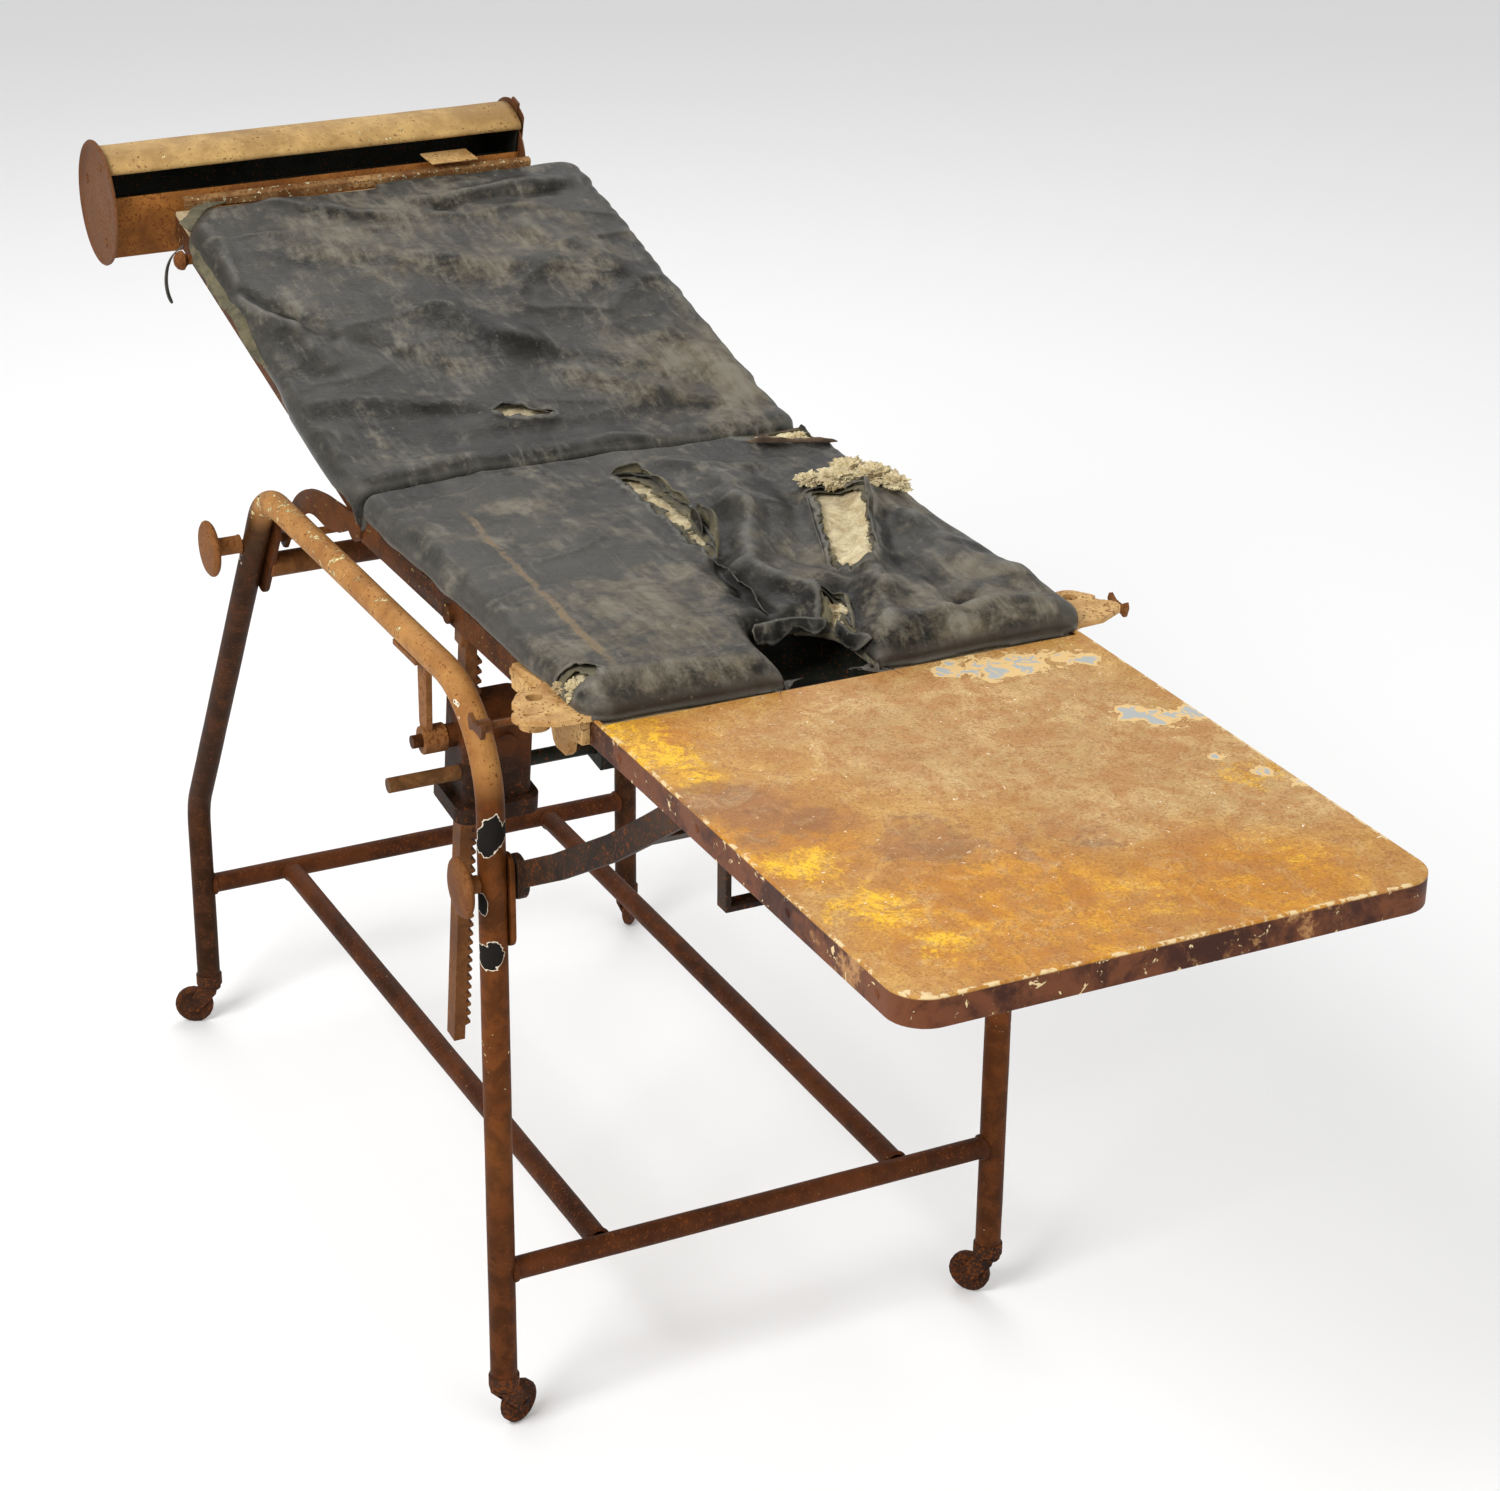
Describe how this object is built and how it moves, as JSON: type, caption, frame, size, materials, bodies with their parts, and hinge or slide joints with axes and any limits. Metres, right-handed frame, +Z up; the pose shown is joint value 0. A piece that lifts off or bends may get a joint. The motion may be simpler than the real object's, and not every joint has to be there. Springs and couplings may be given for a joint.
{
  "type": "medical exam table",
  "caption": "Tilting exam table on a bent-tube frame with casters, hinged backrest with paper-roll holder, crank-driven racks and a folding foot panel.",
  "frame": {"origin": "centre of the bounding box at floor level", "axes": "+X towards the foot end, +Z up, the knob side at -Y"},
  "size_m": [1.7028, 0.606, 0.9719],
  "materials": {
    "frame_paint": "chipped tan-brown enamel over steel",
    "rusty_iron": "dark brown enamel with rust",
    "dark_iron": "black-brown enamel with rust specks",
    "panel_paint": "ochre enamel, chipped",
    "oilcloth": "worn black coated cloth, torn in places",
    "board": "bare board",
    "caster_iron": "rusty cast iron",
    "gear_steel": "cut steel"
  },
  "bodies": {
    "base": {"side_frame_near": "frame_paint", "side_frame_far": "frame_paint", "gear_hanger_near": "frame_paint", "gear_hanger_far": "frame_paint", "stretcher_near": "rusty_iron", "stretcher_far": "rusty_iron", "cross_rail_head": "rusty_iron", "cross_rail_foot": "rusty_iron", "cross_tube_upper": "rusty_iron", "head_pivot_rod": "rusty_iron", "far_arm_bolt": "rusty_iron"},
    "head_clamp": {"head_clamp_knob": "frame_paint"},
    "foot_clamp": {"foot_clamp_knob": "frame_paint"},
    "seat": {"seat_rail_near": "frame_paint", "seat_rail_far": "frame_paint", "seat_cross_bar_foot": "rusty_iron", "stay_tracks": "rusty_iron", "seat_board": "board", "seat_cushion": "oilcloth", "drain_pan": "dark_iron", "stirrup_socket_near": "frame_paint", "stirrup_socket_far": "frame_paint"},
    "socket_screw_near": {"thumb_screw_near": "rusty_iron"},
    "socket_screw_far": {"thumb_screw_far": "rusty_iron"},
    "backrest": {"backrest_rail_near": "rusty_iron", "backrest_rail_far": "rusty_iron", "backrest_head_bar": "rusty_iron", "backrest_foot_bar": "rusty_iron", "stay_pivot_rod": "rusty_iron", "backrest_board": "board", "backrest_cushion": "oilcloth", "roll_housing": "frame_paint", "roll_disc_near": "frame_paint", "roll_disc_far": "rusty_iron", "roll_strap_near": "frame_paint", "roll_strap_far": "frame_paint"},
    "stay": {"backrest_stay": "rusty_iron"},
    "spindle": {"roll_spindle": "rusty_iron"},
    "foot_panel": {"foot_panel": "panel_paint", "panel_loop": "dark_iron"},
    "foot_support": {"support_arm_near": "dark_iron", "support_arm_far": "dark_iron", "support_cross_bar": "dark_iron"},
    "gearbox": {"gear_housing_near": "rusty_iron", "gear_housing_far": "rusty_iron"},
    "crank": {"crank_shaft": "rusty_iron", "shaft_coupling": "dark_iron"},
    "pinion_near": {"pinion_shaft_near": "gear_steel"},
    "pinion_far": {"pinion_shaft_far": "gear_steel"},
    "racks": {"rack_near": "frame_paint", "rack_far": "frame_paint"},
    "fork_head_near": {"caster_fork_head_near": "caster_iron"},
    "wheel_head_near": {"caster_wheel_head_near": "caster_iron"},
    "fork_foot_near": {"caster_fork_foot_near": "caster_iron"},
    "wheel_foot_near": {"caster_wheel_foot_near": "caster_iron"},
    "fork_head_far": {"caster_fork_head_far": "caster_iron"},
    "wheel_head_far": {"caster_wheel_head_far": "caster_iron"},
    "fork_foot_far": {"caster_fork_foot_far": "caster_iron"},
    "wheel_foot_far": {"caster_wheel_foot_far": "caster_iron"}
  },
  "joints": [
    {"name": "seat_tilt", "type": "hinge", "parent": "base", "child": "seat", "pos_m": [-0.41561, 0, 0.657], "axis": [0, -1, 0], "range_deg": [0, 15]},
    {"name": "gearbox_swing", "type": "hinge", "parent": "base", "child": "gearbox", "pos_m": [0.02543, 0, 0.62498], "axis": [0, -1, 0], "range_deg": [0, 14]},
    {"name": "rack_slide", "type": "slide", "parent": "gearbox", "child": "racks", "axis": [0.1323, 0, 0.9912], "range_m": [0, 0.117]},
    {"name": "pinion_turn_near", "type": "hinge", "parent": "gearbox", "child": "pinion_near", "pos_m": [0.0166, -0.1855, 0.62565], "axis": [0.9912, 0, -0.1323], "range_deg": [-530, 530]},
    {"name": "pinion_turn_far", "type": "hinge", "parent": "gearbox", "child": "pinion_far", "pos_m": [0.0166, 0.1855, 0.62565], "axis": [0.9912, 0, -0.1323], "range_deg": [-530, 530]},
    {"name": "crank_spin", "type": "hinge", "parent": "gearbox", "child": "crank", "pos_m": [0.03441, 0, 0.592], "axis": [0, 1, 0], "range_deg": [-10500, 10500]},
    {"name": "backrest_recline", "type": "hinge", "parent": "seat", "child": "backrest", "pos_m": [-0.19061, 0, 0.742], "axis": [0, 1, 0], "range_deg": [-14, 25]},
    {"name": "stay_fold", "type": "hinge", "parent": "backrest", "child": "stay", "pos_m": [-0.30189, 0, 0.77099], "axis": [0, 1, 0], "range_deg": [-52, 30]},
    {"name": "roll_spin", "type": "hinge", "parent": "backrest", "child": "spindle", "pos_m": [-0.78651, 0, 0.906], "axis": [0, 1, 0], "continuous": true},
    {"name": "foot_panel_fold", "type": "hinge", "parent": "seat", "child": "foot_panel", "pos_m": [0.28939, 0, 0.7535], "axis": [0, 1, 0], "range_deg": [0, 90]},
    {"name": "foot_support_swing", "type": "hinge", "parent": "base", "child": "foot_support", "pos_m": [0.18939, 0, 0.562], "axis": [0, 1, 0], "range_deg": [0, 114]},
    {"name": "head_clamp_turn", "type": "hinge", "parent": "base", "child": "head_clamp", "pos_m": [-0.41561, -0.29, 0.657], "axis": [0, 1, 0], "range_deg": [-180, 180]},
    {"name": "foot_clamp_turn", "type": "hinge", "parent": "base", "child": "foot_clamp", "pos_m": [0.18939, -0.28, 0.562], "axis": [0, 1, 0], "range_deg": [-180, 180]},
    {"name": "screw_turn_near", "type": "hinge", "parent": "seat", "child": "socket_screw_near", "pos_m": [0.28139, -0.28, 0.752], "axis": [0, 1, 0], "range_deg": [-180, 180]},
    {"name": "screw_turn_far", "type": "hinge", "parent": "seat", "child": "socket_screw_far", "pos_m": [0.28139, 0.28, 0.752], "axis": [0, 1, 0], "range_deg": [-180, 180]},
    {"name": "swivel_head_near", "type": "hinge", "parent": "base", "child": "fork_head_near", "pos_m": [-0.65561, -0.254, 0.055], "axis": [0, 0, 1], "continuous": true},
    {"name": "roll_head_near", "type": "hinge", "parent": "fork_head_near", "child": "wheel_head_near", "pos_m": [-0.66378, -0.27004, 0.021], "axis": [0.891, -0.454, 0], "continuous": true},
    {"name": "swivel_foot_near", "type": "hinge", "parent": "base", "child": "fork_foot_near", "pos_m": [0.18939, -0.254, 0.055], "axis": [0, 0, 1], "continuous": true},
    {"name": "roll_foot_near", "type": "hinge", "parent": "fork_foot_near", "child": "wheel_foot_near", "pos_m": [0.18236, -0.23743, 0.021], "axis": [-0.9205, -0.3907, 0], "continuous": true},
    {"name": "swivel_head_far", "type": "hinge", "parent": "base", "child": "fork_head_far", "pos_m": [-0.65561, 0.254, 0.055], "axis": [0, 0, 1], "continuous": true},
    {"name": "roll_head_far", "type": "hinge", "parent": "fork_head_far", "child": "wheel_head_far", "pos_m": [-0.6694, 0.26557, 0.021], "axis": [-0.6428, -0.766, 0], "continuous": true},
    {"name": "swivel_foot_far", "type": "hinge", "parent": "base", "child": "fork_foot_far", "pos_m": [0.18939, 0.254, 0.055], "axis": [0, 0, 1], "continuous": true},
    {"name": "roll_foot_far", "type": "hinge", "parent": "fork_foot_far", "child": "wheel_foot_far", "pos_m": [0.17483, 0.24342, 0.021], "axis": [0.5878, -0.809, 0], "continuous": true}
  ],
  "couplings": [
    {"joint": "gearbox_swing", "follows": "seat_tilt", "ratio": 0.9},
    {"joint": "rack_slide", "follows": "seat_tilt", "m_per_rad": 0.441},
    {"joint": "pinion_turn_near", "follows": "seat_tilt", "ratio": -34.643},
    {"joint": "pinion_turn_far", "follows": "seat_tilt", "ratio": 34.643},
    {"joint": "crank_spin", "follows": "seat_tilt", "ratio": 692.86},
    {"joint": "stay_fold", "follows": "backrest_recline", "ratio": -2},
    {"joint": "foot_support_swing", "follows": "foot_panel_fold", "ratio": 1.262}
  ]
}
